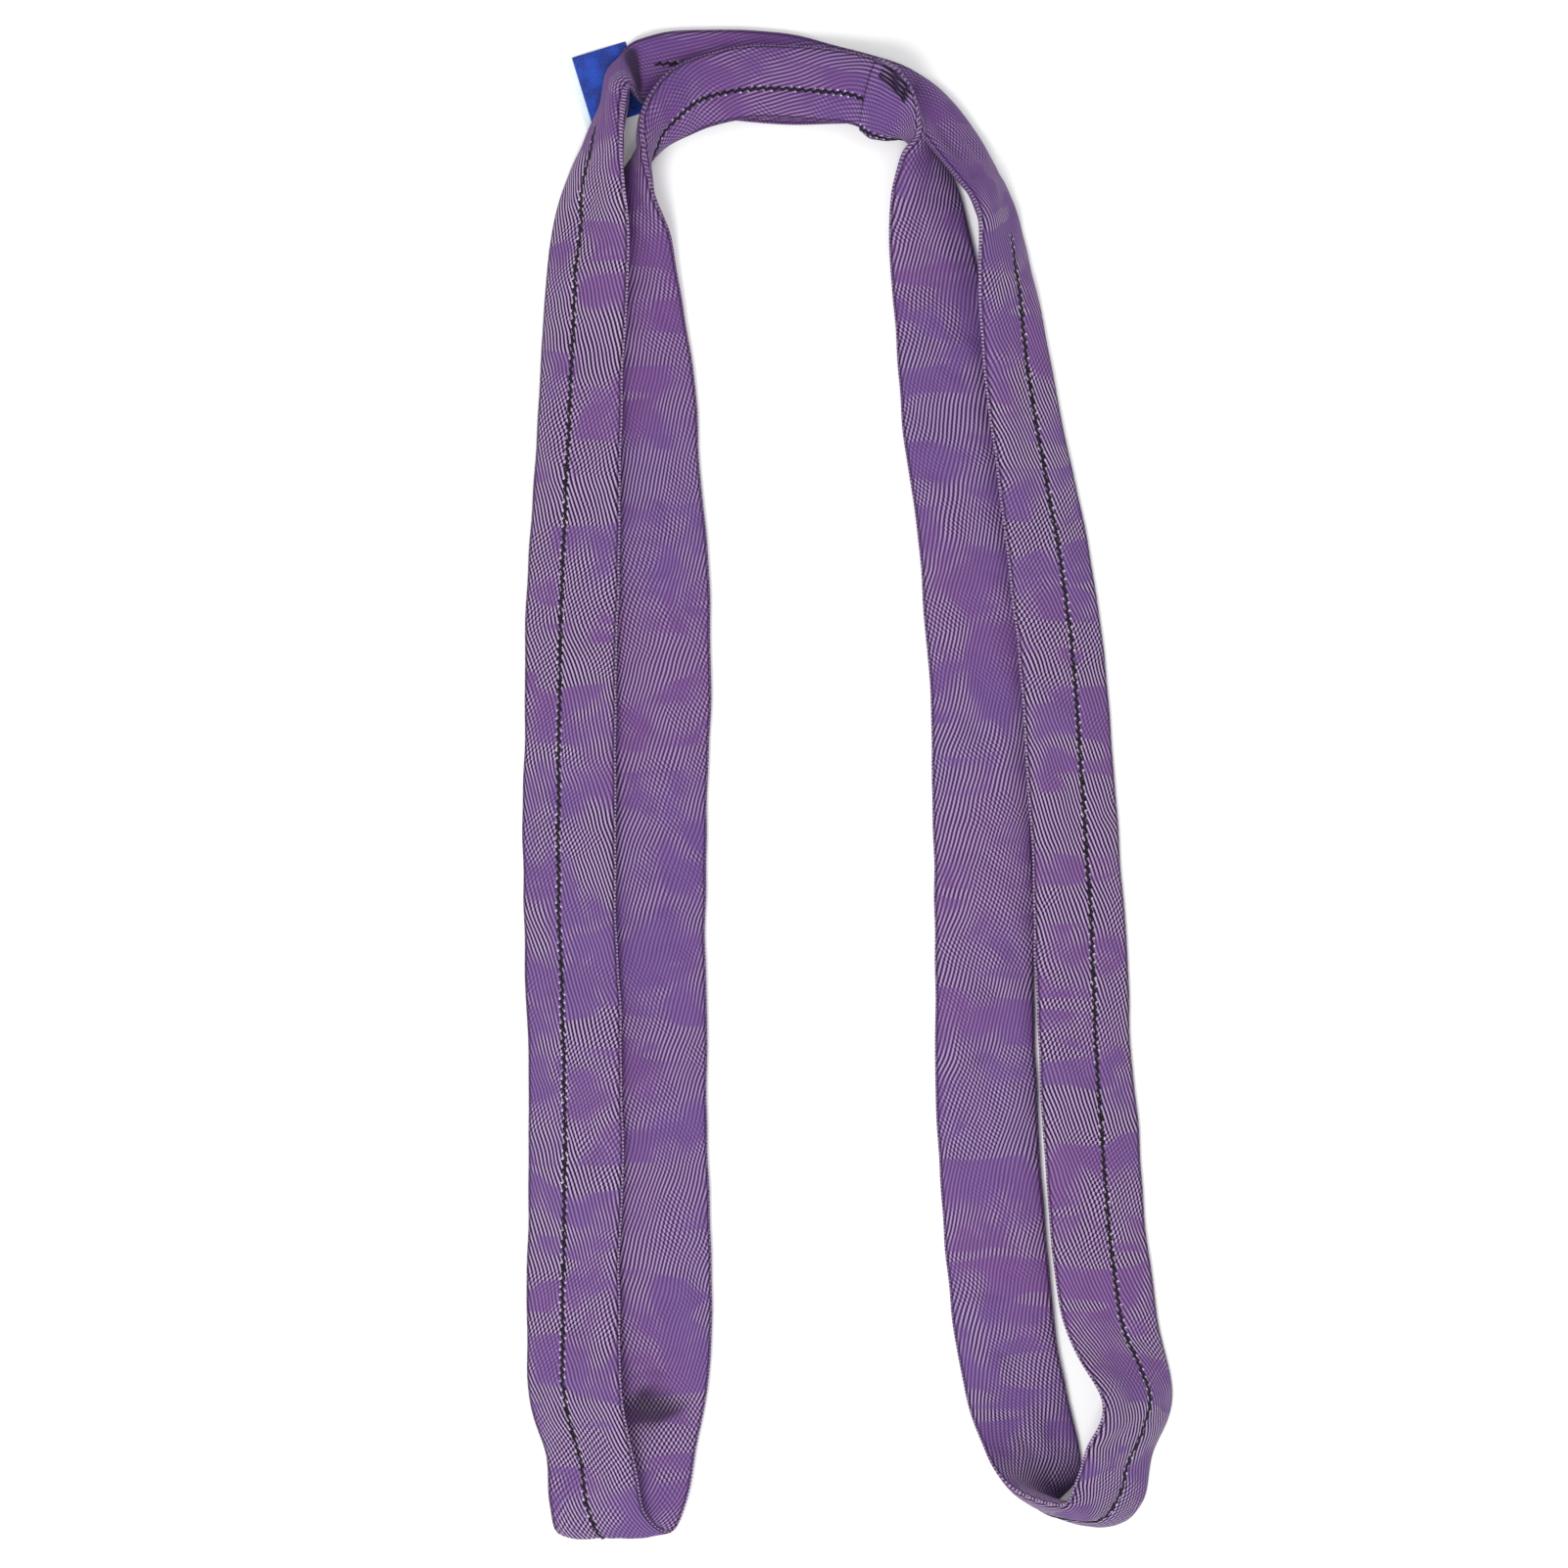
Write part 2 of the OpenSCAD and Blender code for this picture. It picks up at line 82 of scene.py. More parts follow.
# Each station holds x, y, height of the low rim, compass direction from the low to the high rim,
# tilt of that line, and width as a share of BAND_W.
STATIONS = np.array([
    # top strand, outer
    (-20, 325, 0, -90, 0, 0.90), (-56, 328, 0, -90, 0, 0.90), (-79, 329, 0, -90, 0, 0.84),
    (-93, 329, 2, -86, 3, 0.70), (-104, 326, 4, -50, 62, 0.60),
    # left leg, outer strand, down to the eye
    (-107, 314, 3, -18, 72, 0.62), (-112, 297, 2, -4, 62, 0.76), (-116, 278, 0.5, 0, 48, 0.86),
    (-118, 256, 0, 0, 32, 0.90), (-121, 215, 0, 0, 20, 0.90), (-123, 174, 0, 0, 16, 0.88),
    (-127, 74, 0, 0, 12, 0.95), (-128, -44, 0, 0, 12, 0.97), (-125, -148, 0, 0, 12, 0.97),
    (-126, -243, 0, 0, 12, 0.96),
    # left eye
    (-125, -284, 3.2, -2, 17, 1.0), (-118, -312, 7, -6, 12, 0.90), (-115, -334, 11.5, -6, 0, 0.94),
    (-107, -346, 6, 0, 0, 1.14), (-98, -334, 0.3, 2, 2, 1.05), (-92, -307, 0, 2, 1, 1.0),
    (-86, -275, 0, 0, 0, 1.0),
    # left leg, inner strand, up to the turnover
    (-85, -243, 0, 0, 0, 1.0), (-87, -148, 0, 0, 0, 0.985), (-88, -44, 0, 0, 0, 1.0),
    (-86, 74, 0, 0, 0, 1.0), (-91, 174, 0, 0, 0, 0.95), (-95, 219, 0, 0, 1.5, 0.88),
    (-98.5, 253, 0, -4, 10, 0.79),
    # left turnover
    (-99.5, 274, 0, -10, 42, 0.66), (-94, 288, 2, 50, 84, 0.66), (-87, 304.5, 8, 126, 46, 0.65),
    # top strand, inner, lying on the outer one
    (-70, 318, 9.5, 108, 4, 0.71), (-44, 324, 9, 92, 0, 0.74), (-13, 323, 9, 86, 0, 0.74),
    (7, 320, 11, 80, 4, 0.72),
    # right turnover
    (22, 310, 9.5, 62, 31, 0.74), (32.5, 299.5, 2, 60, 82, 0.60), (36, 288, 0, 176, 44, 0.64),
    # right leg, inner strand, down to the eye
    (37, 270, 0, 180, 16, 0.74), (40, 243, 0, 180, 2, 0.84), (44, 215, 0, 180, 0, 0.92),
    (47, 174, 0, 180, 0, 0.94), (60, 74, 0, 180, 0, 1.0), (64, -44, 0, 180, 0, 1.02),
    (65, -148, 0, 180, 0, 1.02), (72, -243, 0, 180, 0, 1.02),
    # right eye
    (78, -280, 0, 178, 4, 1.05), (85.5, -310, 0, 165, 22, 1.13), (86, -329, 0, 150, 58, 1.03),
    (111, -337, 0, 157, 53, 1.02), (121, -327, 0, 162, 42, 0.98), (125.6, -309, 0, 172, 46, 0.98),
    (134.2, -284, 0, 180, 42.5, 0.98),
    # right leg, outer strand, up to the top
    (121, -243, 0, 180, 12, 1.0), (112, -148, 0, 180, 12, 0.98), (107, -44, 0, 180, 13, 0.93),
    (98, 74, 0, 180, 15, 0.88), (82, 174, 0, 180, 19, 0.78), (77, 210, 0, 180, 30, 0.76),
    (73, 237, 0, 180, 48, 0.80), (69, 265, 0, 186, 62, 0.80),
    # right corner
    (56.5, 287, 0, 202, 56, 0.80), (46, 301.5, 0, 226, 50, 0.74), (34, 314, 0.3, 245, 40, 0.66),
    (15, 320.5, 0.6, 266, 8, 0.68),
], float)
COUNT = len(STATIONS)

# Stations in the middle of the rigid bodies, where the pieces are cut.
TOP_CUT = 0
LEFT_UPPER_OUTER = 11
LEFT_LOWER_OUTER = 13
LEFT_LOWER_INNER = 23
LEFT_UPPER_INNER = 25
RIGHT_UPPER_INNER = 43
RIGHT_LOWER_INNER = 45
RIGHT_LOWER_OUTER = 55
RIGHT_UPPER_OUTER = 57
# Place of the cuff's mouth on the curve, and how far the other end is pushed into it.
CUFF = 35.2
TUCK = 0.42


def unit(vectors):
    return vectors / np.linalg.norm(vectors, axis=-1, keepdims=True)


def keys():
    """Middle, line from the low rim to the high rim, and width share of the band at each station."""
    x, y, rise, compass, tilt, share = STATIONS.T
    compass = np.radians(compass)
    tilt = np.radians(tilt)
    rim = BAND_T / np.sqrt(share) / 2
    height = GROUND_ROOM + rise + rim + (BAND_W * share / 2 - rim) * np.sin(tilt)
    side = (np.cos(tilt) * np.cos(compass), np.cos(tilt) * np.sin(compass), np.sin(tilt))
    return np.column_stack([x - CENTRE[0], y - CENTRE[1], height, *side, share])


KEYS = keys()


def at(u):
    """The band at places u on the closed curve through the stations."""
    i = np.floor(u).astype(int)
    t = (u - i)[:, None]
    a, b, c, d = (KEYS[(i + k) % COUNT] for k in (-1, 0, 1, 2))
    cubic = (3 * b - a - 3 * c + d) * t ** 3
    return 0.5 * (2 * b + (c - a) * t + (2 * a - 5 * b + 4 * c - d) * t ** 2 + cubic)


# Lengths along the curve at closely spaced places.
PLACES_PER_STATION = 60
PLACES = np.arange(COUNT * PLACES_PER_STATION + 1) / PLACES_PER_STATION
STEPS = np.linalg.norm(np.diff(at(PLACES)[:, :3], axis=0), axis=1)
LENGTHS = np.concatenate([[0], np.cumsum(STEPS)])
LOOP = LENGTHS[-1]


def length_at(u):
    """Length along the curve up to place u."""
    return np.interp(u % COUNT, PLACES, LENGTHS) + LOOP * (u // COUNT)


def place_at(s):
    """Place on the curve at lengths s."""
    return np.interp(s % LOOP, LENGTHS, PLACES) + COUNT * (s // LOOP)


def band(s):
    """Middle, side line, face normal, half width and half thickness of the band at lengths s."""
    k = at(place_at(s))
    side = unit(k[:, 3:6])
    run = at(place_at(s + 1))[:, :3] - at(place_at(s - 1))[:, :3]
    face = unit(np.cross(run, side))
    share = k[:, 6:7]
    return k[:, :3], side, face, BAND_W * share / 2, BAND_T / np.sqrt(share) / 2


# ---------------------------------------------------------------- cloth surface

# How the cross-section swells from its pressed rims to its middle.
RIM_POWER = 3.3
SWELL_POWER = 0.62
# A ripple is a sum of this many waves, each of the asked length times a number between these two.
RIPPLE_WAVES = 7
RIPPLE_SPREAD = (0.7, 1.6)
# Seeds of the ripples on the stitched face, on the plain face, in the creases and along the rims.
STITCHED_SEED = 10
PLAIN_SEED = 20
CREASE_SEED = 30
RIM_SEED = 40
# Length and height of each set of ripples on the faces.
RIPPLES = ((46, 0.5), (19, 0.28), (9, 0.10))
# Length and height of the waves along the rims, which are read this far to each side of the middle,
# so that the two rims differ.
RIM_WAVES = ((70, 0.45), (22, 0.16))
RIM_APART = 30
# Length, height and power of the sharp-bottomed creases.
CREASE_LENGTH = 30
CREASE_HEIGHT = 0.75
CREASE_POWER = 0.7
# Single creases across a face: place, width, depth and face. Their full depth also sets the painted shade
# in them.
CROSS_CREASES = ((3.5, 3.2, 4.2, 1), (14.9, 2.4, 1.0, 1), (21.1, 2.0, 0.9, -1), (61.6, 2.4, 1.2, 1),
                 (64.2, 2.2, 1.2, 1), (30.2, 2.2, 1.0, -1), (45.9, 2.6, 0.9, -1))
# Single dents: place, share across, length, width, depth and face. Their full depth also sets the painted
# shade in them.
DENTS = ((20.6, 0.0, 10, 16, 4.0, -1), (19.1, -0.3, 4, 5, 2.4, -1), (14.2, 0.1, 16, 9, 0.8, 1),
         (46.6, -0.2, 12, 10, 1.2, -1), (52.4, 0.5, 7, 6, 1.6, 1), (62.4, 0.5, 14, 5, 2.6, 1))
# Wrinkles fade towards the rims with this power of the share across.
FADE_POWER = 4
# The cloth stays this close to its smooth shape, so that it covers the core.
DEEPEST = 1.4
# Distance of the seam from the middle, as a share of the width: the cuff's own seam lies lower.
SEAM_OFFSET = 0.1
CUFF_SEAM_OFFSET = 0.46
CUFF_DRIFT = 6
# Corners where a fold swallows the seam (place and reach), how deep, and how suddenly.
SEAM_DIVES = ((4.2, 1.5), (63.0, 2.5))
DIVE_DEPTH = 1.2
DIVE_POWER = 8
# Depth and width of the furrow that the seam pulls into the cloth.
FURROW_DEPTH = 0.6
FURROW_W = 2.2
# Distance that the cuff stands out from the end inside it.
CUFF_LIFT = 1.1
# A lifted skin is wider only near its rims, with this power of the share across.
LIFT_POWER = 6


def ripple(s, c, length, seed):
    """Smooth unevenness of about -1 to 1 with bumps of about the given length."""
    draw = np.random.default_rng(seed)
    total = 0
    for _ in range(RIPPLE_WAVES):
        turn = draw.uniform(0, 2 * math.pi)
        reach = length * draw.uniform(*RIPPLE_SPREAD)
        cycles = round(LOOP * math.cos(turn) / reach)
        start = draw.uniform(0, 2 * math.pi)
        total = total + np.sin(2 * math.pi * (cycles * s / LOOP + math.sin(turn) * c / reach) + start)
    return total / RIPPLE_WAVES ** 0.5


def seam_share(s, cuffed):
    """Place of the seam across the band, from -1 at the low rim to 1 at the high rim."""
    drift = np.clip(1 - (place_at(s) - CUFF) / CUFF_DRIFT, 0, 1) if cuffed else 0 * s
    return -2 * (SEAM_OFFSET + (CUFF_SEAM_OFFSET - SEAM_OFFSET) * drift)


def seam_dive(s):
    """How far a fold swallows the seam, from 0 to 1."""
    total = 0 * s
    for place, reach in SEAM_DIVES:
        away = (place_at(s) - place + COUNT / 2) % COUNT - COUNT / 2
        total = total + np.exp(-(away / reach) ** DIVE_POWER)
    return total


def cuff_lift(s, cuffed):
    """Distance that the cuff stands out: full at its mouth, none past the tuck."""
    t = np.clip((CUFF + 2 * TUCK - place_at(s)) / TUCK, 0, 1)
    return CUFF_LIFT * t * t * (3 - 2 * t) if cuffed else 0 * s


def away_from(place, s):
    """Signed lengths along the closed curve from a place to lengths s."""
    return (s - length_at(place) + LOOP / 2) % LOOP - LOOP / 2


def unevenness(row, t, half, face_side):
    """Height of the wrinkles, creases and dents at lengths row and shares t across the band."""
    across = t * half
    height = 0
    for number, (length, rise) in enumerate(RIPPLES):
        stitched = ripple(row, across, length, STITCHED_SEED + number)
        plain = ripple(row, across, length, PLAIN_SEED + number)
        height = height + rise * np.where(face_side > 0, stitched, plain)
    for number, sign in enumerate((1, -1)):
        waves = ripple(row, across, CREASE_LENGTH, CREASE_SEED + number)
        crease = CREASE_HEIGHT * np.abs(waves) ** CREASE_POWER
        height = height + np.where(face_side == sign, crease - CREASE_HEIGHT / 2, 0)
    for place, width, depth, sign in CROSS_CREASES:
        crease = depth * np.exp(-(away_from(place, row) / width) ** 2)
        height = height - np.where(face_side == sign, crease, 0)
    for place, share, length, width, depth, sign in DENTS:
        spot = (away_from(place, row) / length) ** 2 + ((t - share) * half / width) ** 2
        height = height - np.where(face_side == sign, depth * np.exp(-spot), 0)
    return (1 - t ** FADE_POWER) * height


def skin(s, t, face_side, lift=0.0, cuffed=False):
    """Points of the cloth at lengths s, one row each, and shares t across the band.

    face_side is 1 on the stitched face and -1 on the plain one. Lift moves the skin outwards.
    """
    middle, side, face, half, rise = band(s)
    row = s[:, None]
    lift = lift + cuff_lift(s, cuffed)[:, None]
    for number, (length, height) in enumerate(RIM_WAVES):
        half = half + height * ripple(row, RIM_APART * np.sign(t), length, RIM_SEED + number)
    across = t * half
    swell = rise * (1 - np.abs(t) ** RIM_POWER) ** SWELL_POWER
    swell = swell + np.maximum(unevenness(row, t, half, face_side), -DEEPEST)
    off_seam = across - seam_share(s, cuffed)[:, None] * half
    furrow = FURROW_DEPTH * (1 - seam_dive(s)[:, None]) * np.exp(-(off_seam / FURROW_W) ** 2)
    swell = swell - np.where(face_side > 0, furrow, 0)
    out = np.maximum(swell + lift, 0) * face_side
    across = across + lift * np.sign(t) * np.abs(t) ** LIFT_POWER
    points = (middle[:, None, :] + side[:, None, :] * across[..., None]
              + face[:, None, :] * out[..., None])
    points[..., 2] = np.maximum(points[..., 2], GROUND_ROOM + np.maximum(-lift, 0))
    return points


# ---------------------------------------------------------------- meshes

# Columns of quads across each face, and spacing of the rings.
FACE_COLUMNS = 36
RING_STEP = 1.8
# Evenness of the columns: the rest of the spacing draws them closer at the rims.
EVEN_SHARE = 0.6
# Faces that meet at more than this angle, in degrees, keep a sharp edge.
SHARP_ANGLE = 55
# Distance from the seam that is given to cloth where no seam shows.
NO_SEAM = 99.0
# The cloth at the cuff's mouth is marked like the cloth this far from a rim, so that it gets the rims'
# painted shadow line.
MOUTH_EDGE = 0.9
# How strongly the weave's painted glints and shade stand out at places round the loop: (place, share).
BOLDNESS = (
    (0, 0.3), (3, 0.35), (7, 1.0), (19, 0.95), (22, 0.7), (28, 0.55), (34, 0.45), (38, 0.68),
    (46, 0.72), (48, 0.9), (60, 1.0), (61.5, 0.5), (64, 0.35), (66, 0.3),
)


def spread(start, end, step):
    """Lengths from place start to place end, evenly spaced at about the given step."""
    first = length_at(start)
    last = length_at(end)
    return np.linspace(first, last, int(math.ceil((last - first) / step)) + 1)


def outline_columns():
    """Shares across the band, and the face, of each column round the outline."""
    even = np.linspace(-1, 1, FACE_COLUMNS + 1)
    t = EVEN_SHARE * even + (1 - EVEN_SHARE) * np.sin(math.pi * even / 2)
    return np.concatenate([t[:-1], t[:0:-1]]), np.repeat([1.0, -1.0], FACE_COLUMNS)


def wall_quads(rows, columns):
    """Quads of a wall of rings, facing outwards."""
    j, i = np.meshgrid(np.arange(rows - 1), np.arange(columns), indexing="ij")
    a = j * columns + i
    b = j * columns + (i + 1) % columns
    return np.stack([a, a + columns, b + columns, b], axis=-1).reshape(-1, 4)


def tube_quads(rows, columns):
    """Quads of an outer wall, an inner wall and the rims that join them."""
    outer = wall_quads(rows, columns)
    shift = rows * columns
    i = np.arange(columns)
    n = (i + 1) % columns
    end = (rows - 1) * columns
    first_rim = np.stack([i, n, n + shift, i + shift], axis=-1)
    last_rim = np.stack([i + shift, n + shift, n, i], axis=-1) + end
    return np.concatenate([outer, outer[:, ::-1] + shift, first_rim, last_rim])


def make_piece(name, points, faces, material, **attributes):
    """A new object from points in millimetres, with the attributes that its material reads."""
    mesh = bpy.data.meshes.new(name)
    mesh.from_pydata((points * MM).tolist(), [], [list(f) for f in faces])
    mesh.validate()
    mesh.shade_smooth()
    mesh.set_sharp_from_angle(angle=math.radians(SHARP_ANGLE))
    attributes["rest"] = points
    for key, values in attributes.items():
        if values.ndim == 2:
            layer = mesh.attributes.new(key, "FLOAT_VECTOR", "POINT")
            layer.data.foreach_set("vector", values.astype(np.float32).ravel())
        else:
            layer = mesh.attributes.new(key, "FLOAT", "POINT")
            layer.data.foreach_set("value", values.astype(np.float32))
    mesh.materials.append(material)
    piece = bpy.data.objects.new(name, mesh)
    bpy.context.scene.collection.objects.link(piece)
    return piece


def make_jacket(name, start, end, material, cuffed):
    """A length of the woven tube, with an outer and an inner wall."""
    s = spread(start, end, RING_STEP)
    t, face_side = outline_columns()
    t = t[None, :]
    face_side = face_side[None, :]
    walls = [skin(s, t, face_side, lift, cuffed) for lift in (0.0, -CLOTH_T)]
    half = band(s)[3]
    across = t * half
    off_seam = across - seam_share(s, cuffed)[:, None] * half
    rim = half - np.abs(across)
    # The cuff's mouth gets the painted shadow line of the rims.
    if cuffed:
        rim = np.minimum(rim, MOUTH_EDGE + (s - s[0])[:, None])
    bold = np.interp(place_at(s) % COUNT, *np.transpose(BOLDNESS))
    values = {
        "across": across,
        "along": np.broadcast_to(s[:, None], across.shape),
        "rim": rim,
        # Depth below the smooth shape, which sets the painted shade in creases and dents.
        "painted_hollow_shade": -unevenness(s[:, None], t, half, face_side),
        "bold": np.broadcast_to(bold[:, None], across.shape),
        "seam": np.where(face_side > 0, off_seam, NO_SEAM) + NO_SEAM * np.round(seam_dive(s))[:, None],
    }
    values = {key: np.tile(value.ravel(), 2) for key, value in values.items()}
    points = np.concatenate([wall.reshape(-1, 3) for wall in walls])
    return make_piece(name, points, tube_quads(len(s), t.size), material, **values)


# Spacing of the rings of the thread and the core, and points round each of them.
THREAD_STEP = 0.45
THREAD_SIDES = 8
CORE_STEP = 5.0
CORE_SIDES = 60
# The seam's zigzag: length of a stitch, sway to each side, and share of a stitch spent on the stroke.
STITCH = 3.7
SWAY = 0.65
STROKE = 0.72
THREAD_HALF_W = 0.68
THREAD_HALF_T = 0.42


def rod_faces(rows, columns):
    """Faces of a closed solid through rings of points."""
    last = (rows - 1) * columns
    faces = wall_quads(rows, columns).tolist()
    faces.append(list(range(columns)))
    faces.append([last + i for i in reversed(range(columns))])
    return faces


def loft(name, rings, material, **attributes):
    """A closed solid through rings of points."""
    return make_piece(name, rings.reshape(-1, 3), rod_faces(*rings.shape[:2]), material, **attributes)


def make_seam(name, start, end, material, cuffed):
    """The zigzag thread, half sunk in its furrow."""
    s = spread(start, end, THREAD_STEP)
    part = (s / STITCH) % 1
    saw = np.where(part < STROKE, part / STROKE, (1 - part) / (1 - STROKE)) * 2 - 1
    _, side, face, half, _ = band(s)
    t = seam_share(s, cuffed)[:, None] + SWAY * saw[:, None] / half
    centre = skin(s, t, np.ones((1, 1)), THREAD_HALF_T / 2, cuffed)
    centre = centre - face[:, None, :] * (DIVE_DEPTH * seam_dive(s))[:, None, None]
    angles = -2 * math.pi * np.arange(THREAD_SIDES) / THREAD_SIDES
    outline_x = THREAD_HALF_W * np.cos(angles)[None, :, None]
    outline_y = THREAD_HALF_T * np.sin(angles)[None, :, None]
    rings = centre + side[:, None, :] * outline_x + face[:, None, :] * outline_y
    along = np.repeat(s, THREAD_SIDES)
    return loft(name, rings, material, along=along)


# The core is narrower than the jacket by this at each rim, and its thickness is this share of the
# jacket's. Its yarns stand out as ridges, which turn slowly along it.
CORE_ROOM = 3.0
CORE_FLATNESS = 0.22
RIDGES = 15
RIDGE_HEIGHT = 0.3
YARN_TWIST = 0.01


def make_core(name, start, end, material, cuffed):
    """A length of the yarn bundle inside the jacket."""
    s = spread(start, end, CORE_STEP)
    middle, side, face, half, rise = band(s)
    angles = -2 * math.pi * np.arange(CORE_SIDES)[None, :] / CORE_SIDES
    ridge = RIDGE_HEIGHT * np.abs(np.sin(RIDGES / 2 * angles + YARN_TWIST * s[:, None]))
    across = (half - CORE_ROOM + ridge) * np.cos(angles)
    out = (CORE_FLATNESS * rise + ridge) * np.sin(angles)
    rings = (middle[:, None, :] + side[:, None, :] * across[..., None]
             + face[:, None, :] * out[..., None])
    return loft(name, rings, material, along=np.repeat(s, CORE_SIDES))


# ---------------------------------------------------------------- materials

VIOLET_BLUE = (0.096, 0.040, 0.174)
VIOLET_RED = (0.108, 0.038, 0.166)
# Painted glint on the light side of the weave's threads.
PAINTED_GLINT = (0.38, 0.27, 0.45)
# Colour of the rims' light dots, which carry a painted highlight.
RIM_LIGHT = (0.40, 0.28, 0.46)
SHADE = (0.004, 0.002, 0.007)
# Pitch across the band of the steep and the slanting lines of the weave, and their sideways lean along
# the band, which is a whole number of pitches over the loop.
STEEP = 1.85
SLANT = 2.4
STEEP_LEAN = -round(0.3 * LOOP / STEEP) * STEEP / LOOP
SLANT_LEAN = round(1.0 * LOOP / SLANT) * SLANT / LOOP
# Pitch of the dots along the rims, which is a whole share of the loop.
DOTS = LOOP / round(LOOP / 1.7)
# Length and reach of the bends in the steep lines and in the slanting ones.
STEEP_BENDS = (48, 9.0)
SLANT_BENDS = (44, 7.0)
# Lengths of the areas where the lines change kind, of the bold spots and bands, and of the hues.
KIND_LENGTH = 30
SPOT_LENGTH = 24
BAND_LENGTH = 34
HUE_LENGTH = 85
# How sharply the lines are cut off, and how dark their painted shade gets.
CRISPNESS = 2.3
DARKNESS = 0.97
HOLE_LIGHT = (0.6, 0.55, 0.64)


class Graph:
    """A material's node tree, with one short call for each kind of node it is built from."""

    def __init__(self, name):
        self.material = bpy.data.materials.new(name)
        self.material.use_nodes = True
        self.tree = self.material.node_tree
        self.shader = self.tree.nodes["Principled BSDF"]

    def put(self, socket, value):
        if isinstance(value, bpy.types.NodeSocket):
            self.tree.links.new(value, socket)
        elif isinstance(value, tuple) and socket.type == "RGBA":
            socket.default_value = (*value[:3], 1.0)
        else:
            socket.default_value = value

    def node(self, kind, values, output=0, **settings):
        made = self.tree.nodes.new("ShaderNode" + kind)
        for key, value in settings.items():
            setattr(made, key, value)
        for key, value in values.items():
            self.put(made.inputs[key], value)
        return made.outputs[output]

    def attribute(self, name, output="Fac"):
        return self.node("Attribute", {}, output, attribute_name=name)

    def calc(self, operation, a, b=0.0):
        return self.node("Math", {0: a, 1: b}, operation=operation)

    def noise(self, vector, length, detail=2.0, distortion=0.0):
        values = {"Vector": vector, "Scale": 1.0 / length, "Detail": detail, "Distortion": distortion}
        return self.node("TexNoise", values)

    def step(self, value, low, high, start=0.0, end=1.0):
        values = {"Value": value, "From Min": low, "From Max": high, "To Min": start, "To Max": end}
        return self.node("MapRange", values, interpolation_type="SMOOTHSTEP")

    def wave(self, length, pitch, start=0.0):
        turns = self.calc("MULTIPLY_ADD", length, 2 * math.pi / pitch)
        turns.node.inputs[2].default_value = start
        return self.calc("SINE", turns)

    def mix(self, share, a, b):
        """Colour that goes from a to b with the share."""
        made = self.tree.nodes.new("ShaderNodeMix")
        made.data_type = "RGBA"
        self.put(made.inputs[0], share)
        self.put(made.inputs[6], a)
        self.put(made.inputs[7], b)
        return made.outputs[2]

    def blend(self, share, a, b):
        """Number that goes from a to b with the share."""
        return self.node("Mix", {0: share, 2: a, 3: b}, data_type="FLOAT")

    def shift(self, vector, offset):
        return self.node("VectorMath", {0: vector, 1: offset}, operation="ADD")

    def finish(self, **values):
        for key, value in values.items():
            self.put(self.shader.inputs[key.replace("_", " ")], value)
        return self.material

    def bump(self, height, depth):
        return self.node("Bump", {"Strength": 1.0, "Distance": depth * MM, "Height": height}, "Normal")


